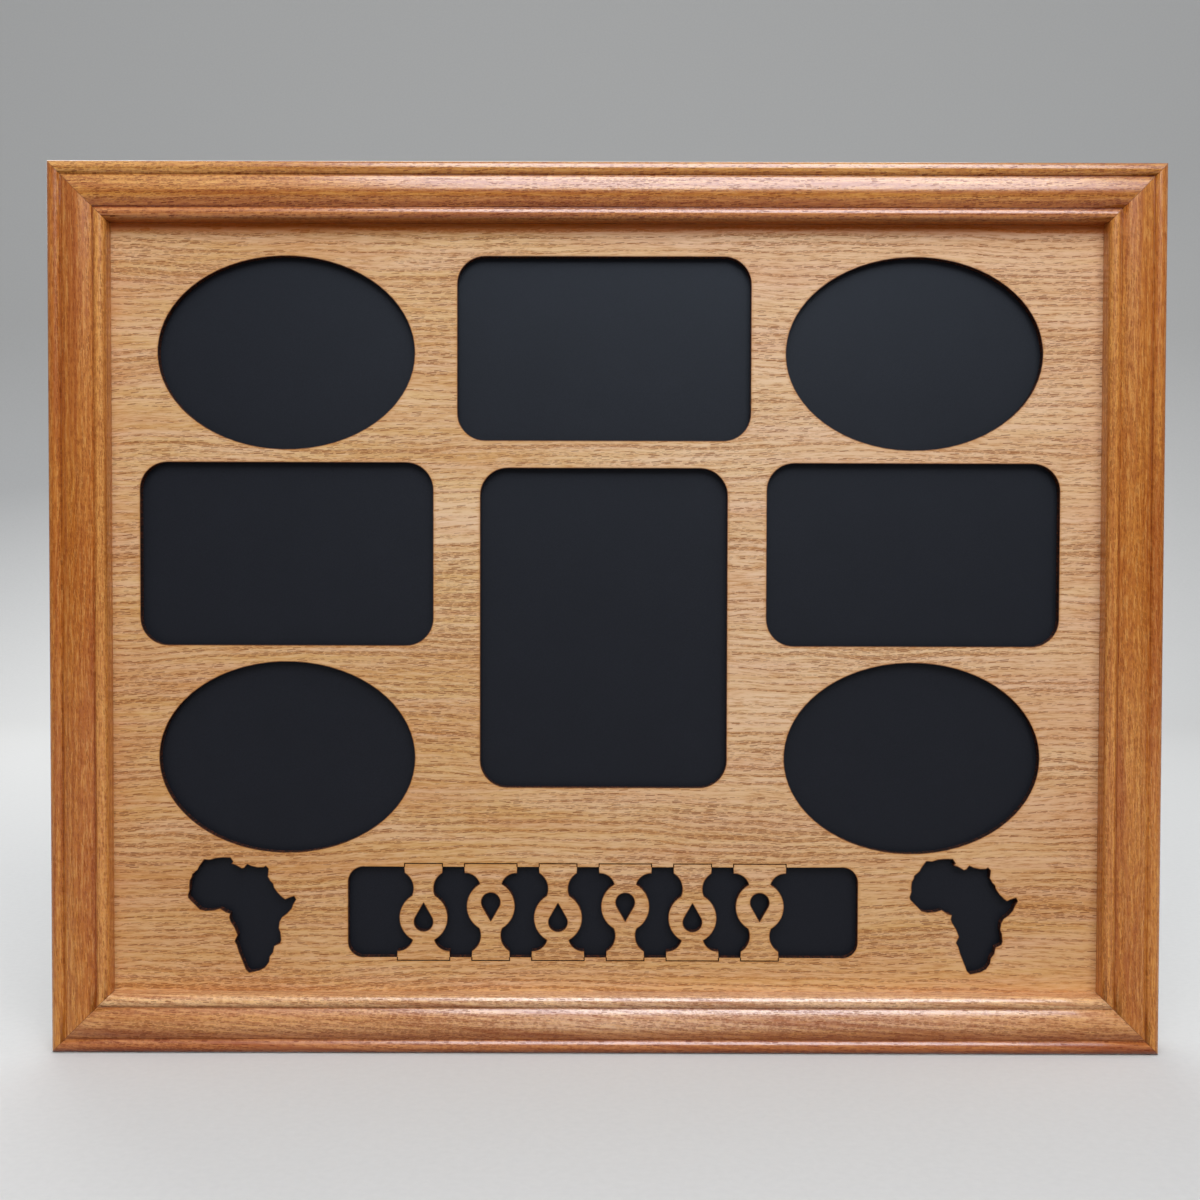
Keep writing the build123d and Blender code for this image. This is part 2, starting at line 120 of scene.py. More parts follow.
# %% Sockets and finishes
class Socket:
    """One output of a shader node. Arithmetic on it adds Math nodes."""

    def __init__(self, finish, output):
        self.finish = finish
        self.output = output

    def maths(self, operation, *values):
        return self.finish.add("ShaderNodeMath", {"operation": operation}, values)

    def __add__(self, other):
        return self.maths("ADD", self, other)

    def __radd__(self, other):
        return self.maths("ADD", other, self)

    def __sub__(self, other):
        return self.maths("SUBTRACT", self, other)

    def __rsub__(self, other):
        return self.maths("SUBTRACT", other, self)

    def __mul__(self, other):
        return self.maths("MULTIPLY", self, other)

    def __rmul__(self, other):
        return self.maths("MULTIPLY", other, self)

    def __truediv__(self, other):
        return self.maths("DIVIDE", self, other)

    def __abs__(self):
        return self.maths("ABSOLUTE", self)

    def fraction(self):
        return self.maths("FRACT", self)

    def floor(self):
        return self.maths("FLOOR", self)


class Finish:
    """A material, or the world, that is built up node by node."""

    def __init__(self, name, owner=None):
        self.material = owner or bpy.data.materials.new(name)
        self.material.use_nodes = True
        self.tree = self.material.node_tree
        self.tree.nodes.clear()

    def add(self, kind, settings=None, sockets=(), output=None):
        """Adds a node of this kind and returns one of its outputs.
        sockets is a list in the node's own order, or a dict by the socket's name or identifier.
        An output node has none to give back, so there output is False."""
        node = self.tree.nodes.new(kind)
        for key, value in (settings or {}).items():
            if key == "stops":
                self.set_stops(node.color_ramp, value)
            else:
                setattr(node, key, value)
        pairs = sockets.items() if isinstance(sockets, dict) else enumerate(sockets)
        for key, value in pairs:
            socket = node.inputs[key] if isinstance(key, int) else self.named(node.inputs, key)
            if isinstance(value, Socket):
                self.tree.links.new(value.output, socket)
            else:
                socket.default_value = value
        if output is False:
            return None
        if output is None:
            return Socket(self, next(s for s in node.outputs if s.enabled))
        return Socket(self, self.named(node.outputs, output))

    @staticmethod
    def named(sockets, key):
        return next(s for s in sockets if key in (s.identifier, s.name))

    @staticmethod
    def set_stops(ramp, stops):
        while len(ramp.elements) > 1:
            ramp.elements.remove(ramp.elements[-1])
        for index, (position, tone) in enumerate(stops):
            stop = ramp.elements[0] if index == 0 else ramp.elements.new(position)
            stop.position = position
            stop.color = tone

    def place(self, turn=(0, 0, 0), shift=(0, 0, 0), stretch=(1, 1, 1)):
        """Object coordinates in millimetres, turned, moved and stretched."""
        coordinates = self.add("ShaderNodeTexCoord", output="Object")
        scale = [factor / MM for factor in stretch]
        sockets = {"Vector": coordinates, "Rotation": turn, "Location": shift, "Scale": scale}
        return self.add("ShaderNodeMapping", {}, sockets)

    def axes(self, vector):
        """The three numbers in a vector."""
        return [self.add("ShaderNodeSeparateXYZ", {}, [vector], axis) for axis in "XYZ"]

    def vector(self, x, y, z):
        return self.add("ShaderNodeCombineXYZ", {}, [x, y, z])

    def noise(self, vector, scale=1.0, detail=2.0, roughness=0.5):
        sockets = {"Vector": vector, "Scale": scale, "Detail": detail, "Roughness": roughness}
        return self.add("ShaderNodeTexNoise", {}, sockets, "Fac")

    def chances(self, vector):
        """Three random numbers from 0 to 1 that stay the same wherever the vector does."""
        return self.axes(self.add("ShaderNodeTexWhiteNoise", {}, {"Vector": vector}, "Color"))

    def step(self, value, low, high, start=0.0, end=1.0):
        """Smooth step: start below low, end above high."""
        sockets = {"Value": value, "From Min": low, "From Max": high, "To Min": start, "To Max": end}
        return self.add("ShaderNodeMapRange", {"interpolation_type": "SMOOTHSTEP"}, sockets)

    def blend(self, factor, first, second, kind="MIX"):
        """Colour between first and second."""
        settings = {"data_type": "RGBA", "blend_type": kind, "clamp_factor": True}
        sockets = {"Factor_Float": factor, "A_Color": first, "B_Color": second}
        return self.add("ShaderNodeMix", settings, sockets, "Result_Color")

    def ramp(self, value, stops):
        return self.add("ShaderNodeValToRGB", {"stops": stops}, [value], "Color")

    def bump(self, height, distance, strength=1.0):
        sockets = {"Height": height, "Distance": distance, "Strength": strength}
        return self.add("ShaderNodeBump", {}, sockets)

    def surface(self, **values):
        """Sends a Principled surface with these socket values or links to the output."""
        sockets = {name.replace("_", " "): value for name, value in values.items()}
        shader = self.add("ShaderNodeBsdfPrincipled", {}, sockets)
        self.add("ShaderNodeOutputMaterial", {}, {"Surface": shader}, False)
        return self.material


def colour(red, green, blue):
    """Linear colour with full alpha, from the 0 to 255 values that a paint chart gives."""
    def linear(value):
        share = value / 255
        return share / 12.92 if share <= 0.04045 else ((share + 0.055) / 1.055) ** 2.4
    return (linear(red), linear(green), linear(blue), 1.0)

# %% [markdown]
# The stage is a pale sheet that lies flat under the frame and sweeps up far behind
# it, as in a photographer's studio. It stays away from the back of the frame, so
# that the back can be looked at too. The camera and reflections see it pale, but
# the light that it passes on comes from a darker grey, because a white floor would
# light the undersides of the moulding as brightly as its top.

# %% Floor and backdrop
SHEET_HALF_WIDTH = 2.6
SHEET_FRONT = -2.6
SHEET_BACK = 1.5
SHEET_BEND = 0.5
SHEET_TOP = FLOOR_Z + 2.6
BEND_POINTS = 24

bend = []
for turn in np.linspace(0, math.pi / 2, BEND_POINTS):
    run = SHEET_BACK - SHEET_BEND + SHEET_BEND * math.sin(turn)
    rise = FLOOR_Z + SHEET_BEND - SHEET_BEND * math.cos(turn)
    bend.append((run, rise))
profile = [(SHEET_FRONT, FLOOR_Z)] + bend + [(SHEET_BACK, SHEET_TOP)]
corners = [(side * SHEET_HALF_WIDTH, y, z) for y, z in profile for side in (-1, 1)]
strips = [(2 * i, 2 * i + 1, 2 * i + 3, 2 * i + 2) for i in range(len(profile) - 1)]
sheet_mesh = bpy.data.meshes.new("backdrop")
sheet_mesh.from_pydata(corners, [], strips)
sheet_mesh.shade_smooth()
backdrop = bpy.data.objects.new("backdrop", sheet_mesh)
bpy.context.collection.objects.link(backdrop)

paper = Finish("backdrop_paper")
fibres = paper.noise(paper.place(), 0.4, 3.0)
seen = paper.blend(fibres, colour(214, 213, 210), colour(222, 221, 218))
passed_on = paper.blend(fibres, colour(92, 91, 90), colour(98, 97, 96))
to_camera = paper.add("ShaderNodeLightPath", output="Is Camera Ray")
to_gloss = paper.add("ShaderNodeLightPath", output="Is Glossy Ray")
sheet_colour = paper.blend(to_camera.maths("MAXIMUM", to_camera, to_gloss), passed_on, seen)
backdrop.data.materials.append(paper.surface(Base_Color=sheet_colour, Roughness=0.9))
print("backdrop strips:", len(strips))

# %% [markdown]
# The photograph was taken in open shade: the sky above is bright and the surroundings
# at eye level are dim. That is why the upper side of each bead shines and its lower
# side is deep brown. The world here is such a sky, a soft lamp in front of the frame
# lifts the upright faces, and a wide card overhead is there for the lacquer alone:
# it shows in reflections and adds nothing to the diffuse light. A second soft lamp
# stands behind the frame, where the camera doesn't see it, and lights the back.

# %% Lights
def softbox(name, place, aim, width, height, power, tint=(1, 1, 1)):
    """A rectangular area lamp at place, turned to face aim."""
    lamp = bpy.data.lights.new(name, "AREA")
    lamp.shape = "RECTANGLE"
    lamp.size = width
    lamp.size_y = height
    lamp.energy = power
    lamp.color = tint
    holder = bpy.data.objects.new(name, lamp)
    holder.location = place
    holder.rotation_euler = (Vector(aim) - Vector(place)).to_track_quat("-Z", "Y").to_euler()
    bpy.context.collection.objects.link(holder)
    return holder


middle = (0, 0, CENTRE_Z)
front_fill = softbox(
    "front_fill", place=(0.14, -1.33, CENTRE_Z + 0.90), aim=middle,
    width=1.5, height=1.0, power=20.2,
)
front_fill.visible_glossy = False
sheen_card = softbox(
    "overhead_card", place=(0.13, -0.64, CENTRE_Z + 0.89), aim=(0.07, 0, CENTRE_Z),
    width=0.74, height=1.20, power=27.5, tint=(0.80, 0.97, 1.14),
)
sheen_card.visible_diffuse = False
back_fill = softbox(
    "back_fill", place=(-0.25, 1.15, CENTRE_Z + 0.75), aim=middle,
    width=1.5, height=0.8, power=11.0,
)
back_fill.visible_camera = False

world = bpy.data.worlds.new("open_shade")
bpy.context.scene.world = world
sky = Finish("open_shade", world)
upward = sky.axes(sky.add("ShaderNodeTexCoord", output="Generated"))[2]
brightness = sky.ramp(upward, [
    (0.05, (0.16, 0.16, 0.16, 1)),
    (0.35, (0.50, 0.52, 0.55, 1)),
    (0.60, (0.58, 0.61, 0.66, 1)),
])
glow = sky.add("ShaderNodeBackground", {}, {"Color": brightness, "Strength": 1.0})
sky.add("ShaderNodeOutputWorld", {}, {"Surface": glow}, False)
print("lamps:", [lamp.name for lamp in (front_fill, sheen_card, back_fill)])

# %% [markdown]
# Oak is a ring-porous wood: each year starts with a row of wide pores, which show
# on a flat-sawn face as rows of short dark dashes along the grain, with smoother
# pale wood between them. A noise stretched along the grain looks smeared, because
# its marks have no ends. Here the face is divided into fine lines and each line into
# cells, and a random number decides for each cell whether it holds a dash, how long
# and how strong it is. A slow noise bends the rows, and dashes are likelier in them.

# %% Figure of oak
def dashes(finish, along, across, length, spacing, likely):
    """Straight dashes on lines this far apart, at most one for each length of a line."""
    line = (across / spacing).floor()
    shift = finish.chances(finish.vector(line, 7.0, 3.0))[0]
    run = along / length + shift * 11.0
    luck, size, lift = finish.chances(finish.vector(run.floor(), line, 5.0))
    ends = finish.step(size * 0.26 + 0.20 - abs(run.fraction() - 0.5), 0.0, 0.10)
    beside = abs((across / spacing).fraction() - 0.5 + (lift - 0.5) * 0.36)
    body = finish.step(beside, 0.40, 0.14)
    present = finish.step(luck - 1.0 + likely, 0.0, 0.04)
    return ends * body * present * (size * 0.5 + 0.5)


def oak_figure(finish, grain, pitch, dash_length, dash_spacing, sway, gather):
    """Rows of pores along X of the grain's coordinates, which are in millimetres.
    Pitch is from row to row, sway is how far the rows wander, and gather says how far
    the pores keep to the rows. Returns how strongly each place is a pore, a row, a fine
    fibre and a patch, from 0 to 1."""
    x, y, z = finish.axes(grain)

    def waves(along, through, across, rows=z, detail=1.0, roughness=0.5):
        """Noise with about this many waves to a millimetre along each axis."""
        return finish.noise(finish.vector(x * along, y * through, rows * across), 1.0, detail, roughness)

    slow = waves(0.008, 0.03, 0.022)
    quick = waves(0.045, 0.09, 0.11)
    level = z + y * 0.1 + (slow - 0.5) * sway + (quick - 0.5) * (0.22 * sway)
    dense = waves(0.012, 0.02, 0.06, detail=2.0)
    place_in_row = abs((level / pitch).fraction() - 0.5) * 2
    strength = finish.chances(finish.vector((level / pitch).floor(), 2.0, 9.0))[0]
    row = finish.step(place_in_row - (dense - 0.5) * 1.2, 0.70, 0.10) * (strength * 0.7 + 0.3)
    likely = (row - 0.3) * gather + (dense - 0.5) * 0.9 + 0.45
    steady = z + y * 0.1 + (slow - 0.5) * (sway * 0.5)
    long = dashes(finish, x, steady - x * 0.09, dash_length, dash_spacing, likely)
    short = dashes(finish, x, steady - x * 0.04, dash_length * 0.5, dash_spacing * 0.62, likely)
    fibre = waves(0.16, 1.2, 2.0, rows=level, detail=3.0, roughness=0.65)
    patch = waves(0.011, 0.02, 0.075, detail=2.0)
    return long.maths("MAXIMUM", long, short * 0.7), row, fibre, patch

# %% [markdown]
# The mat is clear-finished oak plywood. A laser cut its windows, which leaves a
# narrow golden toast round each opening and a black-brown char on the cut itself.
# The toast needs to know how far each place is from the nearest cut. That distance
# is stored in the mesh as edge_distance, in millimetres, and the finish reads it.
# A finish works in millimetres all through, so the reaches below have no unit.

# %% Finish of the mat's face
TOAST_REACH = (1.3, 0.1)
CHAR_REACH = (0.34, 0.10)
PAINTED_SHADE_EDGE = (4.4, 0.6)
# Where the tint of the sheet changes and where painted shade darkens it, measured from the middle of the
# opening.
ROSY_ACROSS = (-50.0, 60.0)
ROSY_HEIGHT = (-115.0, -60.0)
PALEST_PLACE = 12.0
PAINTED_SHADE_SIDES = (60.0, 165.0)
PAINTED_SHADE_TOP = (50.0, 125.0)
PAINTED_SHADE_BOTTOM = (30.0, -130.0)

mat_oak = Finish("mat_oak_face")
mat_pore, mat_row, mat_fibre, mat_patch = oak_figure(
    mat_oak, mat_oak.place(), pitch=2.75, dash_length=4.2, dash_spacing=0.56, sway=12.0, gather=1.10,
)
pale = mat_oak.ramp(mat_patch, [
    (0.30, colour(214, 162, 108)),
    (0.44, colour(219, 175, 126)),
    (0.56, colour(224, 184, 130)),
    (0.70, colour(230, 193, 152)),
])
band = mat_oak.noise(mat_oak.place(stretch=(0.010, 0.1, 0.34)), 1.0, 2.0)
banded = mat_oak.blend(mat_oak.step(band, 0.50, 0.66) * 0.55, pale, colour(228, 188, 154))
golden = mat_oak.blend(mat_oak.step(band, 0.48, 0.34) * 0.50, banded, colour(212, 164, 98))
blush = mat_oak.noise(mat_oak.place(stretch=(0.02, 0.1, 0.16)), 1.0, 2.0)
blushed = mat_oak.blend(mat_oak.step(blush, 0.52, 0.72) * 0.32, golden, colour(208, 150, 106))
across, _, height = mat_oak.axes(mat_oak.place(shift=(0, 0, -CENTRE_Z / MM)))
rosy = mat_oak.step(across, *ROSY_ACROSS) * mat_oak.step(height, *ROSY_HEIGHT)
rosier = mat_oak.blend(rosy * 0.30, blushed, colour(240, 208, 182))
streaked = mat_oak.blend(mat_oak.step(mat_fibre, 0.50, 0.64) * 0.66, rosier, colour(188, 132, 76))
silvered = mat_oak.blend(mat_oak.step(mat_fibre, 0.48, 0.36) * 0.45, streaked, colour(234, 200, 164))
rowed = mat_oak.blend(mat_row * 0.46, silvered, colour(192, 130, 66))
pored = mat_oak.blend(mat_pore * 0.84, rowed, colour(130, 72, 24))
# Painted shade: the sheet is darker towards the bottom, the sides and the top than in its middle, as the
# light falls off there.
lower = mat_oak.step(height + across * 0.12, *PAINTED_SHADE_BOTTOM) * 0.34
beside = mat_oak.step(abs(across - PALEST_PLACE), *PAINTED_SHADE_SIDES) * 0.16
outer = beside + mat_oak.step(height, *PAINTED_SHADE_TOP) * 0.14
shaded_outskirts = mat_oak.blend(lower + outer, pored, colour(232, 196, 150), "MULTIPLY")
# Painted shade: within about 4 mm below the top rail the wood is tinted deep orange-brown, where the rail's
# shadow falls.
below_rail = SIGHT_HALF_HEIGHT / MM - height
top_shade = mat_oak.step(below_rail, *PAINTED_SHADE_EDGE)
shaded = mat_oak.blend(top_shade * 0.80, shaded_outskirts, colour(216, 110, 12))
edge_distance = mat_oak.add("ShaderNodeAttribute", {"attribute_name": "edge_distance"}, output="Fac")
unevenness = mat_oak.noise(mat_oak.place(), 0.35, 2.0)
toast = mat_oak.step(edge_distance + (unevenness - 0.5) * 0.7, *TOAST_REACH)
toasted = mat_oak.blend(toast * 0.42, shaded, colour(196, 132, 62))
char = mat_oak.step(edge_distance + (unevenness - 0.5) * 0.2, *CHAR_REACH)
mat_oak.surface(
    Base_Color=mat_oak.blend(char * 0.80, toasted, colour(82, 36, 14)),
    Roughness=0.46 + mat_pore * 0.25,
    Specular_IOR_Level=0.22,
    Normal=mat_oak.bump(mat_fibre * 0.10 - mat_pore, 0.06 * MM, 0.7),
)
print("face of the mat:", len(mat_oak.tree.nodes), "nodes")

# %% [markdown]
# The walls of the cuts are charred, a little unevenly and in faint layers where the
# plies lie. The back of the board is plain unsanded plywood, which is hidden by the
# card, so it gets the same figure in a rougher and duller form.

# %% Finishes of the mat's cuts and back
char_edge = Finish("charred_cut")
streaks = char_edge.noise(char_edge.place(stretch=(1.6, 0.25, 1.6)), 1.0, 3.0)
plies = char_edge.noise(char_edge.place(stretch=(0.02, 1.4, 0.02)), 1.0, 1.0)
burnt = char_edge.ramp(streaks + (plies - 0.5) * 0.4, [
    (0.36, colour(20, 9, 5)),
    (0.52, colour(48, 20, 9)),
    (0.72, colour(92, 42, 17)),
])
char_edge.surface(
    Base_Color=burnt,
    Roughness=0.9,
    Specular_IOR_Level=0.12,
    Normal=char_edge.bump(streaks, 0.1 * MM, 0.5),
)

mat_back = Finish("mat_plywood_back")
back_pore, _, back_fibre, _ = oak_figure(
    mat_back, mat_back.place(shift=(300, 0, 90)),
    pitch=3.6, dash_length=8.0, dash_spacing=0.8, sway=12.0, gather=0.90,
)
plain = mat_back.blend(back_fibre, colour(206, 168, 124), colour(188, 148, 104))
mat_back.surface(Base_Color=mat_back.blend(back_pore * 0.5, plain, colour(140, 98, 60)), Roughness=0.8)
print("cut and back:", char_edge.material.name, mat_back.material.name)

# %% [markdown]
# The moulding is red oak with a golden-brown stain under a satin lacquer. The stain
# settles in the pores, so they are darker, and the back has none. The narrow grooves
# beside the beads are darkened with painted shade. The grain runs along each rail, so
# each of the four has its own turn of the coordinates, and its own stretch of the
# pattern, because they were cut from different places in the plank.

# %% Places on the moulding
# Places in the finish, in millimetres from the sight edge outwards.
QUIRK_PLACES = (4.18, 15.12)
QUIRK_REACH = (0.55, 0.1)
BEAD_END = (4.4, 3.6)
CROWN_MIDDLE = (9.0, 11.0)
SHEEN_END = (13.0, 9.0)
# Other places in it: down from the face, along the rail, beside the mitre and before the back.
FLANK_START = 1.6
SHEEN_CENTRE = -45.0
SHEEN_REACH = (135.0, 30.0)
MITRE_LINE = (0.22, 0.05)
BARE_START = (-0.7, -0.1)

# Each rail's turn from the top rail's place, half the opening across it and half its length.
RAILS = {
    "top_rail": (0.0, SIGHT_HALF_HEIGHT, SIGHT_HALF_WIDTH),
    "bottom_rail": (math.pi, SIGHT_HALF_HEIGHT, SIGHT_HALF_WIDTH),
    "left_stile": (math.pi / 2, SIGHT_HALF_WIDTH, SIGHT_HALF_HEIGHT),
    "right_stile": (-math.pi / 2, SIGHT_HALF_WIDTH, SIGHT_HALF_HEIGHT),
}
print("turns in degrees:", {name: round(math.degrees(turn)) for name, (turn, _, _) in RAILS.items()})

# %% Finish of one rail
def moulding_finish(
    name, plank_place, tones, highlight_tone, bead_highlight, flecks, grooves, slope=0.0, shaded_flanks=(), painted_sheen=0.0
):
    """Stained oak for one rail, cut from plank_place, with the stain's pale, middle and deep tones.
    Then come the tone of the painted highlight on the inner bead and how strongly it is painted, how dark the
    pores are and how much painted shade darkens the grooves beside the beads. The grain rises by slope along
    the rail. The list of shaded flanks gives the flanks that face down and get painted shade, each from, to
    and how much. The last argument says how strongly a painted sheen pales the inner half of the crown."""
    turn, half_opening, half_length = RAILS[name]
    oak = Finish("moulding_oak_" + name)
    centre_mm = Matrix.Rotation(turn, 3, "Y") @ Vector((0, 0, CENTRE_Z / MM))
    along, through, outward = oak.axes(oak.place(turn=(0, turn, 0), shift=-centre_mm))
    from_sight = outward - half_opening / MM

    # The grain's coordinates are unrolled over both flanks, so that the pattern isn't smeared there.
    below_face = through + RAIL_DEPTH / MM - FLANK_START
    flank = below_face.maths("MAXIMUM", below_face, 0.0) * (oak.step(from_sight, *CROWN_MIDDLE) * 2.0 - 1.0)
    unrolled = oak.vector(along, through, outward + flank + along * slope)
    grain = oak.add("ShaderNodeVectorMath", {"operation": "ADD"}, [unrolled, plank_place])
    pore, row, fibre, patch = oak_figure(
        oak, grain, pitch=2.1, dash_length=2.5, dash_spacing=0.56, sway=7.0, gather=0.60,
    )

    pale, middle, deep = tones
    ground = oak.ramp(patch, [(0.30, deep), (0.48, middle), (0.68, pale)])
    # Painted highlight: the inner bead, within about 4 mm of the sight edge, is made paler towards its own
    # tone.
    highlighted = oak.blend(oak.step(from_sight, *BEAD_END) * bead_highlight, ground, highlight_tone)
    # Painted sheen: a pale pink patch on the inner half of the crown near the middle of the rail, used on the
    # bottom rail only.
    sheen_patch = oak.step(abs(along - SHEEN_CENTRE), *SHEEN_REACH) * oak.step(from_sight, *SHEEN_END) * painted_sheen
    sheened = oak.blend(sheen_patch, highlighted, colour(240, 202, 176))
    mottle = oak.noise(grain, 0.55, 2.0, 0.6)
    mottled = oak.blend(oak.step(mottle, 0.42, 0.66) * 0.36, sheened, colour(170, 92, 28))
    golden = oak.blend(oak.step(fibre, 0.50, 0.38) * 0.35, mottled, colour(232, 172, 96))
    streak = oak.noise(oak.add("ShaderNodeVectorMath", {"operation": "MULTIPLY"}, [grain, (0.010, 0.4, 0.4)]))
    streaked = oak.blend(oak.step(streak, 0.50, 0.72) * 0.56, golden, colour(164, 82, 26))
    fibred = oak.blend(oak.step(fibre, 0.48, 0.62) * 0.42, streaked, colour(156, 76, 20))
    rowed = oak.blend(row * 0.24, fibred, colour(150, 72, 20))
    pored = oak.blend(pore * flecks, rowed, colour(108, 42, 8))

    # Painted shade: the narrow grooves beside the beads are darkened, in patches that follow the streaks.
    groove = sum(oak.step(abs(from_sight - place), *QUIRK_REACH) for place in QUIRK_PLACES)
    broken = oak.step(streak, 0.36, 0.60, 0.4, 1.3)
    shaded_oak = oak.blend(groove * broken * grooves, pored, colour(112, 50, 20))
    # Painted shade: each listed flank that faces down is darkened.
    for start, end, strength in shaded_flanks:
        flank_shade = oak.step(from_sight, start, end) * strength
        shaded_oak = oak.blend(flank_shade, shaded_oak, colour(225, 190, 160), "MULTIPLY")
    to_mitre = from_sight + half_length / MM - abs(along)
    mitred = oak.blend(oak.step(to_mitre, *MITRE_LINE) * 0.6, shaded_oak, colour(86, 42, 16))

    bare = oak.step(through, *BARE_START)
    raw_wood = oak.blend(fibre, colour(206, 164, 120), colour(184, 138, 94))
    raw = oak.blend(pore * 0.5, raw_wood, colour(128, 86, 52))
    return oak.surface(
        Base_Color=oak.blend(bare, mitred, raw),
        Roughness=bare * 0.30 + 0.45 + pore * 0.15,
        Specular_IOR_Level=0.06,
        Coat_Weight=(1.0 - bare) * (1.0 - pore * 0.70),
        Coat_Roughness=0.21,
        Normal=oak.bump(fibre * 0.15 - pore, 0.03 * MM, 0.5),
    )

# %% Finishes of the four rails
gold_tones = (colour(218, 156, 76), colour(206, 138, 58), colour(190, 118, 42))
brown_tones = (colour(206, 132, 50), colour(194, 114, 34), colour(178, 96, 24))
# The bottom rail's tones are paler and pinker than the others, partly as painted sheen.
rosy_sheen_tones = (colour(228, 172, 120), colour(216, 154, 98), colour(198, 132, 74))
cream = colour(246, 198, 144)
honey = colour(240, 170, 90)
straw = colour(248, 196, 134)
rail_looks = {
    "top_rail": {
        "plank_place": (40, 0, 7), "tones": gold_tones, "highlight_tone": straw,
        "bead_highlight": 0.40, "flecks": 0.84, "grooves": 0.45, "shaded_flanks": [(9.0, 4.8, 0.85)],
    },
    "bottom_rail": {
        "plank_place": (900, 30, 120), "tones": rosy_sheen_tones, "highlight_tone": cream,
        "bead_highlight": 0.90, "flecks": 0.66, "grooves": 0.30, "shaded_flanks": [(10.3, 13.5, 0.80), (17.0, 18.8, 0.80)],
        "slope": 0.07, "painted_sheen": 0.45,
    },
    "left_stile": {
        "plank_place": (-700, 60, 300), "tones": brown_tones, "highlight_tone": honey,
        "bead_highlight": 0.55, "flecks": 0.55, "grooves": 0.32,
    },
    "right_stile": {
        "plank_place": (1500, -40, -200), "tones": brown_tones, "highlight_tone": honey,
        "bead_highlight": 0.35, "flecks": 0.55, "grooves": 0.32,
    },
}
rail_finishes = {name: moulding_finish(name, **look) for name, look in rail_looks.items()}
print("rail finishes:", sorted(rail_finishes))

# %% [markdown]
# The moulding is milled to one section and cut into four lengths with mitred ends.
# A sweep along a rectangle could make all four at once, but each rail is a piece of
# its own, so a Geometry Nodes tree makes one length at a time. It sweeps the section
# along a straight line and then moves each point along the rail by its own distance
# from the sight edge, which is exactly what a 45 degree cut does. The sharp edges of
# the section are eased a little first, as sandpaper and lacquer ease them.

# %% Section of the moulding
RABBET = 6.35 * MM
RABBET_DEPTH = 11.0 * MM
# A bead's width and how far its top lies below the face, and a quirk's width and depth.
INNER_BEAD = (4.0 * MM, 0.8 * MM)
OUTER_BEAD = (4.7 * MM, 0.6 * MM)
QUIRK = (0.35 * MM, 0.25 * MM)
BEAD_RADIUS_SHARE = 0.55
CROWN_RISE = 1.6 * MM
REAR_ARRIS = 0.5 * MM
EASING = 0.14 * MM
INNER_BEAD_POINTS = 26
CROWN_POINTS = 30
OUTER_BEAD_POINTS = 24


def arc(centre, radius, start, end, count):
    """Points on an arc of the section."""
    turns = np.linspace(start, end, count)
    return [(centre[0] + radius * math.cos(t), centre[1] + radius * math.sin(t)) for t in turns]


def eased(points, reach, least_turn=math.radians(25)):
    """The closed outline with each sharp corner replaced by a small curve."""
    out = []
    for i, here in enumerate(points):
        here, before, after = (Vector(points[j % len(points)]) for j in (i, i - 1, i + 1))
        back, ahead = before - here, after - here
        if math.pi - back.angle(ahead) < least_turn:
            out.append(tuple(here))
            continue
        start = here + back.normalized() * min(reach, back.length / 2)
        end = here + ahead.normalized() * min(reach, ahead.length / 2)
        for t in (0.0, 0.33, 0.67, 1.0):
            out.append(tuple(start * (1 - t) ** 2 + here * (2 * t * (1 - t)) + end * t ** 2))
    return out


inner_width, inner_drop = INNER_BEAD
outer_width, outer_drop = OUTER_BEAD
inner_radius = inner_width * BEAD_RADIUS_SHARE
outer_radius = outer_width * BEAD_RADIUS_SHARE
bead_end = math.acos((1 - BEAD_RADIUS_SHARE) / BEAD_RADIUS_SHARE)
crown_edge = RAIL_DEPTH - CROWN_RISE
quirk_floor = crown_edge - QUIRK[1]
crown_start = inner_width + QUIRK[0]
crown_end = RAIL_FACE - outer_width - QUIRK[0]
crown_half = (crown_end - crown_start) / 2
crown_radius = (crown_half ** 2 + CROWN_RISE ** 2) / (2 * CROWN_RISE)
crown_centre = (crown_start + crown_half, RAIL_DEPTH - crown_radius)
crown_turn = math.asin(crown_half / crown_radius)
inner_centre = (inner_radius, RAIL_DEPTH - inner_drop - inner_radius)
outer_centre = (RAIL_FACE - outer_radius, RAIL_DEPTH - outer_drop - outer_radius)
upright = math.pi / 2

section = [(0, RABBET_DEPTH)]
section += arc(inner_centre, inner_radius, math.pi, bead_end, INNER_BEAD_POINTS)
section += [(inner_width, quirk_floor), (crown_start, quirk_floor)]
section += arc(crown_centre, crown_radius, upright + crown_turn, upright - crown_turn, CROWN_POINTS)
section += [(crown_end, quirk_floor), (RAIL_FACE - outer_width, quirk_floor)]
section += arc(outer_centre, outer_radius, math.pi - bead_end, 0, OUTER_BEAD_POINTS)
section += [(RAIL_FACE, REAR_ARRIS), (RAIL_FACE - REAR_ARRIS, 0), (RABBET, 0), (RABBET, RABBET_DEPTH)]
section = eased(section, EASING)

section_curve = bpy.data.curves.new("moulding_section", "CURVE")
section_curve.dimensions = "3D"
spline = section_curve.splines.new("POLY")
spline.points.add(len(section) - 1)
for point, (outward, forward) in zip(spline.points, section):
    point.co = (outward, forward, 0, 1)
spline.use_cyclic_u = True
section_object = bpy.data.objects.new("moulding_section", section_curve)
bpy.context.collection.objects.link(section_object)
print("section points:", len(section), "crown radius in mm:", round(crown_radius / MM, 2))

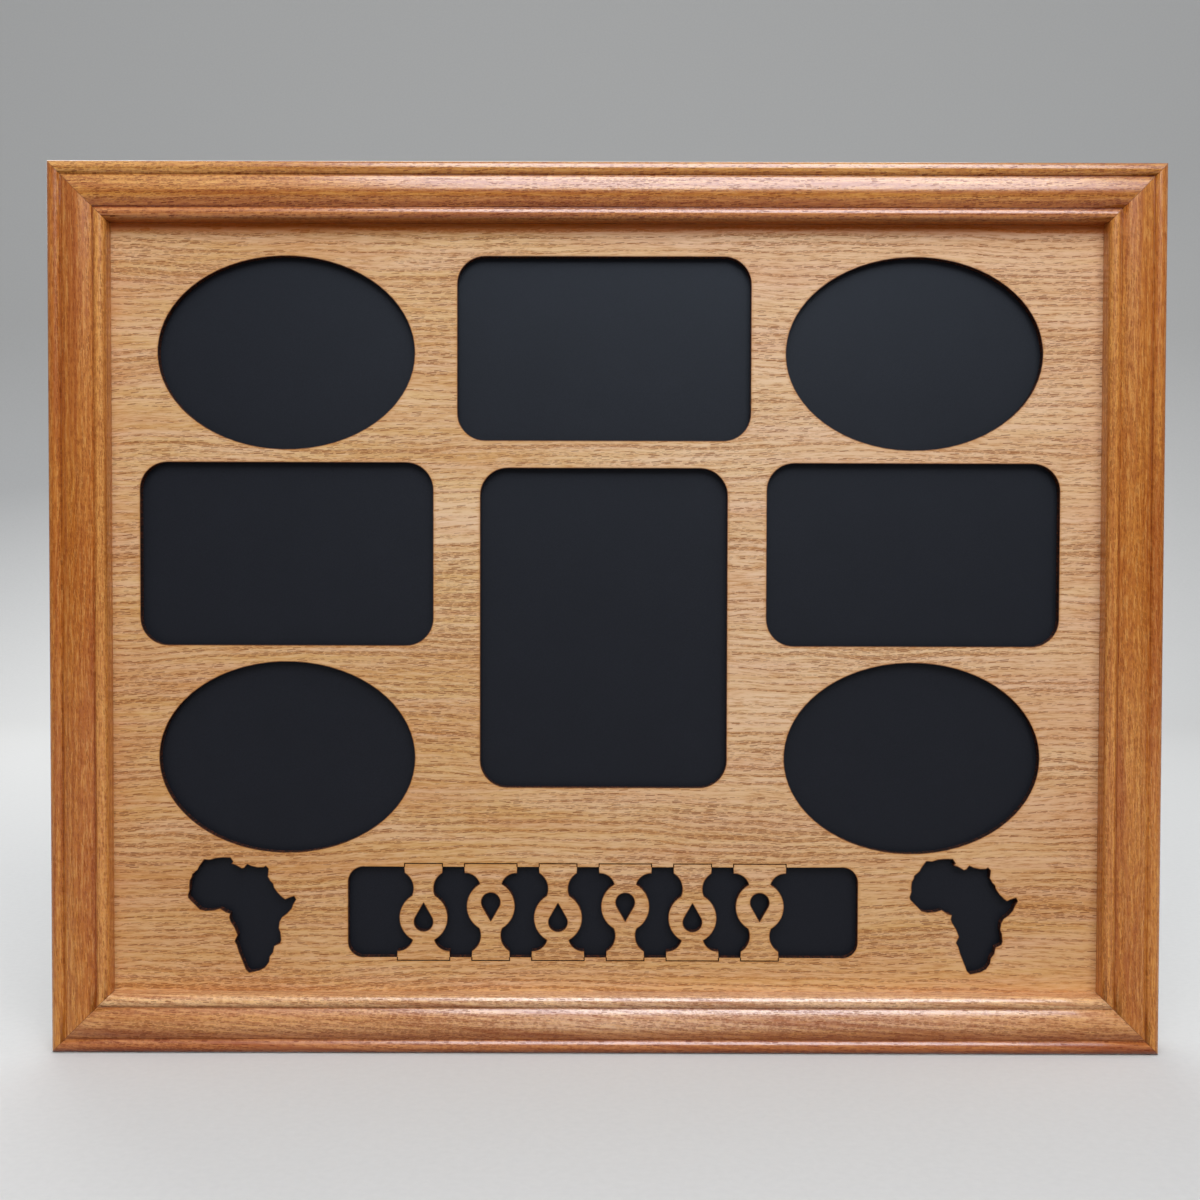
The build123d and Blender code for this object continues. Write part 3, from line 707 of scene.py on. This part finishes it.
# %% One mitred length as Geometry Nodes
class Maker:
    """A Geometry Nodes tree with named inputs."""

    def __init__(self, name, inputs):
        self.tree = bpy.data.node_groups.new(name, "GeometryNodeTree")
        self.tree.interface.new_socket("Geometry", in_out="OUTPUT", socket_type="NodeSocketGeometry")
        self.identifiers = {}
        for label, kind in inputs.items():
            made = self.tree.interface.new_socket(label, in_out="INPUT", socket_type=kind)
            self.identifiers[label] = made.identifier
        self.group = self.tree.nodes.new("NodeGroupInput")

    def given(self, label):
        """The output of the group's input with this label."""
        return self.group.outputs[label]

    def add(self, kind, settings=None, sockets=(), output=0):
        """Adds a node and returns one of its outputs."""
        node = self.tree.nodes.new(kind)
        for key, value in (settings or {}).items():
            setattr(node, key, value)
        for key, value in dict(sockets).items():
            if isinstance(value, bpy.types.NodeSocket):
                self.tree.links.new(value, node.inputs[key])
            else:
                node.inputs[key].default_value = value
        return node.outputs[output]

    def maths(self, operation, first, second):
        return self.add("ShaderNodeMath", {"operation": operation}, {0: first, 1: second})

    def finish(self, geometry, material):
        """Ends the tree in real geometry with this finish."""
        realized = self.add("GeometryNodeRealizeInstances", {}, {"Geometry": geometry})
        finished = self.add("GeometryNodeSetMaterial", {}, {"Geometry": realized, "Material": material})
        out = self.tree.nodes.new("NodeGroupOutput")
        self.tree.links.new(finished, out.inputs["Geometry"])

    def make(self, name, values):
        """A plain mesh object from the tree with these inputs."""
        holder = bpy.data.objects.new(name + "_maker", bpy.data.meshes.new(name + "_maker"))
        bpy.context.collection.objects.link(holder)
        modifier = holder.modifiers.new("maker", "NODES")
        modifier.node_group = self.tree
        for label, value in values.items():
            modifier[self.identifiers[label]] = value
        depsgraph = bpy.context.evaluated_depsgraph_get()
        mesh = bpy.data.meshes.new_from_object(holder.evaluated_get(depsgraph), depsgraph=depsgraph)
        bpy.data.objects.remove(holder)
        made = bpy.data.objects.new(name, mesh)
        bpy.context.collection.objects.link(made)
        return made


moulding = Maker("mitred_length", {
    "Section": "NodeSocketObject",
    "Half Length": "NodeSocketFloat",
    "Half Opening": "NodeSocketFloat",
    "Turn": "NodeSocketVector",
    "Centre": "NodeSocketVector",
    "Pieces": "NodeSocketInt",
    "Finish": "NodeSocketMaterial",
})
line = moulding.add("GeometryNodeCurvePrimitiveLine", {}, {"Start": (-1, 0, 0), "End": (1, 0, 0)})
line = moulding.add("GeometryNodeResampleCurve", {}, {"Curve": line, "Count": moulding.given("Pieces")})
position = moulding.add("GeometryNodeInputPosition")


def remembered(geometry, label):
    """Stores the position that each point of a curve has before the sweep."""
    return moulding.add(
        "GeometryNodeStoreNamedAttribute", {"data_type": "FLOAT_VECTOR", "domain": "POINT"},
        {"Geometry": geometry, "Name": label, "Value": position},
    )


def recalled(label):
    """The three numbers of a stored position."""
    value = moulding.add("GeometryNodeInputNamedAttribute", {"data_type": "FLOAT_VECTOR"}, {"Name": label})
    return [moulding.add("ShaderNodeSeparateXYZ", {}, {"Vector": value}, axis) for axis in "XYZ"]


swept_line = remembered(line, "along")
shape = moulding.add("GeometryNodeObjectInfo", {}, {"Object": moulding.given("Section")}, "Geometry")
swept = moulding.add(
    "GeometryNodeCurveToMesh", {},
    {"Curve": swept_line, "Profile Curve": remembered(shape, "section"), "Fill Caps": True},
)
along = recalled("along")[0]
outward, forward, _ = recalled("section")
reach = moulding.maths("ADD", moulding.given("Half Length"), outward)
settled = moulding.add("ShaderNodeCombineXYZ", {}, {
    "X": moulding.maths("MULTIPLY", along, reach),
    "Y": moulding.maths("MULTIPLY", forward, -1.0),
    "Z": moulding.maths("ADD", moulding.given("Half Opening"), outward),
})
mitred = moulding.add("GeometryNodeSetPosition", {}, {"Geometry": swept, "Position": settled})
turned = moulding.add(
    "GeometryNodeTransform", {},
    {"Geometry": mitred, "Translation": moulding.given("Centre"), "Rotation": moulding.given("Turn")},
)
for label in ("along", "section"):
    turned = moulding.add("GeometryNodeRemoveAttribute", {}, {"Geometry": turned, "Name": label})
moulding.finish(turned, moulding.given("Finish"))
print("nodes in the tree:", len(moulding.tree.nodes))

# %% [markdown]
# Each corner is held by V-nails that were pressed into the back of both rails. The
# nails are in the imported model, so a copy of them, drawn out past the back, cuts
# their slots into each rail with a Boolean modifier. The cut leaves long thin faces
# on the flat back, and smooth shading would show them as dark triangles, so the back
# and the smallest faces are shaded flat.

# %% Cutter for the nails' slots
SLOT_OVERSHOOT = 1.0 * MM
NAIL_REAR = -0.1 * MM


def merged_copy(name):
    """A CAD node's loose triangles joined into one mesh, for editing."""
    mesh = bmesh.new()
    mesh.from_mesh(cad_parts[name].data)
    bmesh.ops.remove_doubles(mesh, verts=mesh.verts, dist=SAME_PLACE)
    return mesh


def add_object(name, mesh):
    """A new object at the origin from an edited mesh."""
    data = bpy.data.meshes.new(name)
    mesh.to_mesh(data)
    mesh.free()
    made = bpy.data.objects.new(name, data)
    bpy.context.collection.objects.link(made)
    return made


nail_slots = merged_copy("corner_v_nails")
for corner in nail_slots.verts:
    if corner.co.y > NAIL_REAR:
        corner.co.y = SLOT_OVERSHOOT
slot_cutter = add_object("nail_slots", nail_slots)
print("faces of the cutter:", len(slot_cutter.data.polygons))

# %% The four rails
RAIL_STATIONS = 25
SHARPEST_SMOOTH_TURN = math.radians(34)
SMALLEST_SMOOTH_FACE = 0.01 * MM ** 2
FACES_BACK = 0.9

for name, (turn, half_opening, half_length) in RAILS.items():
    rail = moulding.make("moulding_" + name, {
        "Section": section_object,
        "Half Length": half_length,
        "Half Opening": half_opening,
        "Turn": (0, -turn, 0),
        "Centre": (0, 0, CENTRE_Z),
        "Pieces": RAIL_STATIONS,
        "Finish": rail_finishes[name],
    })
    edit = bmesh.new()
    edit.from_mesh(rail.data)
    bmesh.ops.recalc_face_normals(edit, faces=edit.faces)
    edit.to_mesh(rail.data)
    edit.free()
    cut = rail.modifiers.new("nail_slots", "BOOLEAN")
    cut.operation = "DIFFERENCE"
    cut.solver = "EXACT"
    cut.object = slot_cutter
    depsgraph = bpy.context.evaluated_depsgraph_get()
    mesh = bpy.data.meshes.new_from_object(rail.evaluated_get(depsgraph), depsgraph=depsgraph)
    rail.modifiers.remove(cut)
    rail.data = mesh
    rail.data.shade_smooth()
    rail.data.set_sharp_from_angle(angle=SHARPEST_SMOOTH_TURN)
    for face in rail.data.polygons:
        face.use_smooth = face.normal.y < FACES_BACK and face.area > SMALLEST_SMOOTH_FACE
    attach(rail, "frame")
    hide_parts(name)
    places = np.array([v.co for v in rail.data.vertices]) / MM
    print(name, len(rail.data.polygons), "faces", np.round(places.min(0), 2), np.round(places.max(0), 2))
bpy.data.objects.remove(slot_cutter)
bpy.data.objects.remove(section_object)

# %% [markdown]
# The mat keeps the shape of its CAD solid. Only its front is meshed again: each cut
# gets three rings of points at set distances from it, so that the toast's distance
# can be stored where it matters, and a Delaunay triangulation joins them. Inset
# faces would be quicker to write, but they fold over each other in the narrow bars
# of the fretwork. The engraved lines were made with less power than the cuts, so
# they toast less: their stored distance starts above zero.

# %% Rim of the mat's front face
ENGRAVED_DEPTH = 1.0 * MM
SQUARE_ON = 0.99

mat = merged_copy("oak_mat")
mat.normal_update()


def on_front(face):
    """Whether a face of the mat lies in its front plane and looks forwards."""
    return face.normal.y < -SQUARE_ON and abs(face.calc_center_median().y - MAT_FRONT) < SAME_PLACE


front_faces = [f for f in mat.faces if on_front(f)]
front_set = set(front_faces)
rim = [e for e in mat.edges if sum(f in front_set for f in e.link_faces) == 1]
rim_verts = sorted({v for e in rim for v in e.verts}, key=lambda v: v.index)
rim_index = {v: i for i, v in enumerate(rim_verts)}
rim_edges = [(rim_index[e.verts[0]], rim_index[e.verts[1]]) for e in rim]
flat = np.array([(v.co.x, v.co.z) for v in rim_verts])
rim_starts = flat[[a for a, _ in rim_edges]]
rim_spans = flat[[b for _, b in rim_edges]] - rim_starts
deepest = np.array([max(v.co.y for f in e.link_faces for v in f.verts) for e in rim])
engraved = deepest < MAT_FRONT + ENGRAVED_DEPTH
print("front faces:", len(front_faces), "rim edges:", len(rim), "engraved:", int(engraved.sum()))

# %% Where the wood is
# So many points are measured together, because all of them at once would fill the memory.
POINTS_AT_ONCE = 400
LEAST_SQUARE = 1e-18


def into_wood(edge):
    """Direction in the plane of the face from this edge into the wood."""
    face = next(f for f in edge.link_faces if f in front_set)
    a, b = (Vector((v.co.x, v.co.z)) for v in edge.verts)
    inward = Vector((-(b - a).y, (b - a).x)).normalized()
    third = next(v for v in face.verts if v not in edge.verts)
    if inward.dot(Vector((third.co.x, third.co.z)) - a) < 0:
        inward.negate()
    return a, b, inward


def rim_distance(points, beyond=0.0):
    """Distance of each point of the face from the nearest cut, in metres.
    Beyond is one length, or one for each edge of the rim, that is added to the distance from it."""
    squares = np.maximum((rim_spans ** 2).sum(1), LEAST_SQUARE)
    found = []
    for some in np.array_split(points, len(points) // POINTS_AT_ONCE + 1):
        offset = some[:, None, :] - rim_starts[None]
        share = np.clip((offset * rim_spans[None]).sum(2) / squares, 0, 1)
        apart = np.sqrt(((offset - share[..., None] * rim_spans[None]) ** 2).sum(2))
        found.append((apart + beyond).min(1))
    return np.concatenate(found)


def on_wood(points):
    """Whether each point lies on wood.
    A line from such a point to the right crosses the rim an odd number of times."""
    found = []
    for some in np.array_split(points, len(points) // POINTS_AT_ONCE + 1):
        offset = some[:, None, :] - rim_starts[None]
        crosses = (offset[..., 1] < 0) != (offset[..., 1] < rim_spans[:, 1])
        rise = np.where(rim_spans[:, 1] == 0, 1.0, rim_spans[:, 1])
        reach = offset[..., 1] / rise * rim_spans[:, 0] - offset[..., 0]
        found.append((crosses & (reach > 0)).sum(1) % 2 == 1)
    return np.concatenate(found)


print("middle of the sheet on wood:", bool(on_wood(np.array([(0.0, CENTRE_Z)]))[0]))

# %% Rings of points beside the cuts
RING_DISTANCES = (0.25 * MM, 0.7 * MM, 1.5 * MM)
SAMPLE_SPACING = 2.0 * MM
SHARPEST_CORNER = 0.2
LONGEST_STRETCH = 1.5
# A point is kept if the rim leaves it this share of its distance, and one for each cell.
CLEAR_SHARE = 0.85
CELL_SHARE = 0.6

candidates = []
vertex_inward = {v: Vector((0, 0)) for v in rim_verts}
for edge in rim:
    a, b, inward = into_wood(edge)
    for v in edge.verts:
        vertex_inward[v] += inward
    count = max(1, round((b - a).length / SAMPLE_SPACING))
    for sample in range(count):
        start = a + (b - a) * ((sample + 0.5) / count)
        candidates += [(d, start + inward * d) for d in RING_DISTANCES]
for v, inward in vertex_inward.items():
    if inward.length > SHARPEST_CORNER:
        start = Vector((v.co.x, v.co.z))
        stretch = min(2 / inward.length ** 2, LONGEST_STRETCH)
        candidates += [(d, start + inward * (d * stretch)) for d in RING_DISTANCES]

wanted = np.array([d for d, _ in candidates])
places = np.array([p[:] for _, p in candidates])
clear_of_rim = on_wood(places) & (rim_distance(places) > CLEAR_SHARE * wanted)
ring_points = []
taken = set()
for d, p, clear in zip(wanted, places, clear_of_rim):
    cell = (d, round(p[0] / (CELL_SHARE * d)), round(p[1] / (CELL_SHARE * d)))
    if clear and cell not in taken:
        taken.add(cell)
        ring_points.append(p)
print("ring points:", len(ring_points), "of", len(candidates))

# %% New front face
# The triangulation works in millimetres, and so does this reach.
JOINED_REACH = 1e-6
FRONT_FINISH, CUT_FINISH, BACK_FINISH = range(3)

inputs = [Vector(p / MM) for p in np.vstack([flat, np.array(ring_points)])]
made_verts, _, made_faces, origins, _, _ = delaunay_2d_cdt(inputs, rim_edges, [], 0, JOINED_REACH)
bmesh.ops.delete(mat, geom=front_faces, context="FACES_ONLY")
new_verts = []
for place, sources in zip(made_verts, origins):
    on_rim = [i for i in sources if i < len(rim_verts)]
    if on_rim:
        new_verts.append(rim_verts[on_rim[0]])
    else:
        new_verts.append(mat.verts.new((place.x * MM, MAT_FRONT, place.y * MM)))
middles = np.array([np.mean([made_verts[i][:] for i in corners], axis=0) for corners in made_faces])
kept = 0
for corners, wood in zip(made_faces, on_wood(middles * MM)):
    if wood:
        loop = [new_verts[i] for i in corners]
        a, b, c = (v.co for v in loop[:3])
        mat.faces.new(loop if (b - a).cross(c - a).y < 0 else loop[::-1])
        kept += 1
bmesh.ops.delete(mat, geom=[e for e in mat.edges if not e.link_faces], context="EDGES")
mat.normal_update()
for face in mat.faces:
    if on_front(face):
        face.material_index = FRONT_FINISH
    elif face.normal.y > SQUARE_ON:
        face.material_index = BACK_FINISH
    else:
        face.material_index = CUT_FINISH
print("new front faces:", kept, "open edges:", sum(not e.is_manifold for e in mat.edges))

# %% Finishes of the mat and its stored distances
ENGRAVED_OFFSET = 0.24 * MM

laser_cut_mat = add_object("laser_cut_mat", mat)
for finish in (mat_oak, char_edge, mat_back):
    laser_cut_mat.data.materials.append(finish.material)
spots = np.array([(v.co.x, v.co.z) for v in laser_cut_mat.data.vertices])
depths = np.array([v.co.y for v in laser_cut_mat.data.vertices])
scorched = rim_distance(spots, engraved * ENGRAVED_OFFSET)
distances = np.where(abs(depths - MAT_FRONT) < SAME_PLACE, scorched / MM, 0.0)
stored = laser_cut_mat.data.attributes.new("edge_distance", "FLOAT", "POINT")
stored.data.foreach_set("value", distances.astype(np.float32))
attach(laser_cut_mat, "frame")
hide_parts("oak_mat")
print("largest stored distance in mm:", round(float(distances.max()), 2))

# %% [markdown]
# The card behind the windows is black all through, with a fine felt surface that
# catches a little of the light. The two boards behind it are plain packing: a
# corrugated filler and a hardboard back.

# %% Finishes of the card and the boards
# Radians for each millimetre across the board: a flute every 3.3 mm.
FLUTE_TURN = 1.9

card = Finish("black_card")
felt = card.noise(card.place(), 2.4, 4.0, 0.7)
clouds = card.noise(card.place(), 0.06, 2.0)
black = card.blend(felt, colour(2, 2, 6), colour(32, 33, 41))
card.surface(
    Base_Color=card.blend(clouds * 0.5, black, colour(12, 13, 19)),
    Roughness=0.42 + felt * 0.1,
    Specular_IOR_Level=0.16,
    Normal=card.bump(felt, 0.04 * MM, 0.35),
)

corrugated = Finish("corrugated_card")
flute_turn = corrugated.axes(corrugated.place())[0] * FLUTE_TURN
flutes = flute_turn.maths("SINE", flute_turn)
kraft = corrugated.noise(corrugated.place(stretch=(1, 1, 0.15)), 1.5, 3.0)
corrugated.surface(
    Base_Color=corrugated.blend(kraft, colour(176, 138, 96), colour(152, 114, 74)),
    Roughness=0.85,
    Normal=corrugated.bump(flutes * 0.5 + kraft * 0.2, 0.1 * MM, 0.5),
)

hardboard = Finish("hardboard")
chips = hardboard.noise(hardboard.place(), 0.9, 4.0, 0.7)
mottle = hardboard.noise(hardboard.place(), 0.03, 3.0)
brown = hardboard.ramp(chips, [
    (0.30, colour(74, 46, 28)),
    (0.50, colour(104, 66, 40)),
    (0.72, colour(134, 92, 58)),
])
hardboard.surface(
    Base_Color=hardboard.blend(mottle * 0.5, brown, colour(88, 56, 34)),
    Roughness=0.55 + chips * 0.15,
    Normal=hardboard.bump(chips, 0.06 * MM, 0.5),
)
print("boards:", card.material.name, corrugated.material.name, hardboard.material.name)

# %% [markdown]
# The hardware is cheap stamped and plated steel, with a slightly uneven plating and
# fine scratches from handling that run every way. The two wall bumpers are rubber
# pads with a matt, faintly dusty skin.

# %% Finishes of the hardware
def plated(name, bright, dull, roughness, scratch_size):
    """Plated steel with uneven plating and fine scratches."""
    metal = Finish(name)
    bloom = metal.noise(metal.place(), 0.25, 3.0)
    scratch = metal.noise(metal.place(turn=(0, 0.5, 0), stretch=(0.3, 1, 4)), scratch_size, 3.0, 0.7)
    crossing = metal.noise(metal.place(turn=(0, -0.7, 0), stretch=(4, 1, 0.3)), scratch_size, 3.0, 0.7)
    marks = metal.step(scratch, 0.60, 0.70) + metal.step(crossing, 0.62, 0.72)
    return metal.surface(
        Base_Color=metal.blend(bloom, bright, dull),
        Metallic=1.0,
        Roughness=bloom * 0.15 + roughness + marks * 0.08,
        Normal=metal.bump(marks, -0.02 * MM, 0.4),
    )


rubber = Finish("bumper_rubber")
skin = rubber.noise(rubber.place(), 2.5, 3.0)
rubber.surface(
    Base_Color=rubber.blend(skin, colour(40, 38, 37), colour(58, 56, 54)),
    Roughness=0.75 + skin * 0.1,
    Normal=rubber.bump(skin, 0.04 * MM, 0.5),
)

hardware = {
    "button": plated("button_steel", colour(196, 198, 200), colour(160, 163, 168), 0.30, 1.2),
    "screw": plated("screw_steel", colour(206, 200, 176), colour(170, 160, 128), 0.28, 1.8),
    "hanger": plated("hanger_steel", colour(206, 186, 128), colour(172, 148, 92), 0.26, 1.4),
    "nail": plated("nail_brass", colour(214, 184, 110), colour(176, 146, 80), 0.28, 2.0),
    "v_nail": plated("v_nail_steel", colour(168, 170, 172), colour(120, 122, 124), 0.38, 2.0),
}
node_finishes = {
    "black_card": card.material,
    "filler_board": corrugated.material,
    "backing_board": hardboard.material,
    "corner_v_nails": hardware["v_nail"],
    "turn_button_screws": hardware["screw"],
    "sawtooth_hanger": hardware["hanger"],
    "hanger_nails": hardware["nail"],
    "left_wall_bumper": rubber.material,
    "right_wall_bumper": rubber.material,
}
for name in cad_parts:
    if name.endswith("turn_button"):
        node_finishes[name] = hardware["button"]
for name, material in node_finishes.items():
    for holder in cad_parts[name].material_slots:
        holder.material = material
print("carried-over nodes with a finish:", len(node_finishes))

# %% [markdown]
# The view transform is set to Standard, so that a colour shows as it is written.

# %% Standard view and the end
bpy.context.scene.view_settings.view_transform = "Standard"
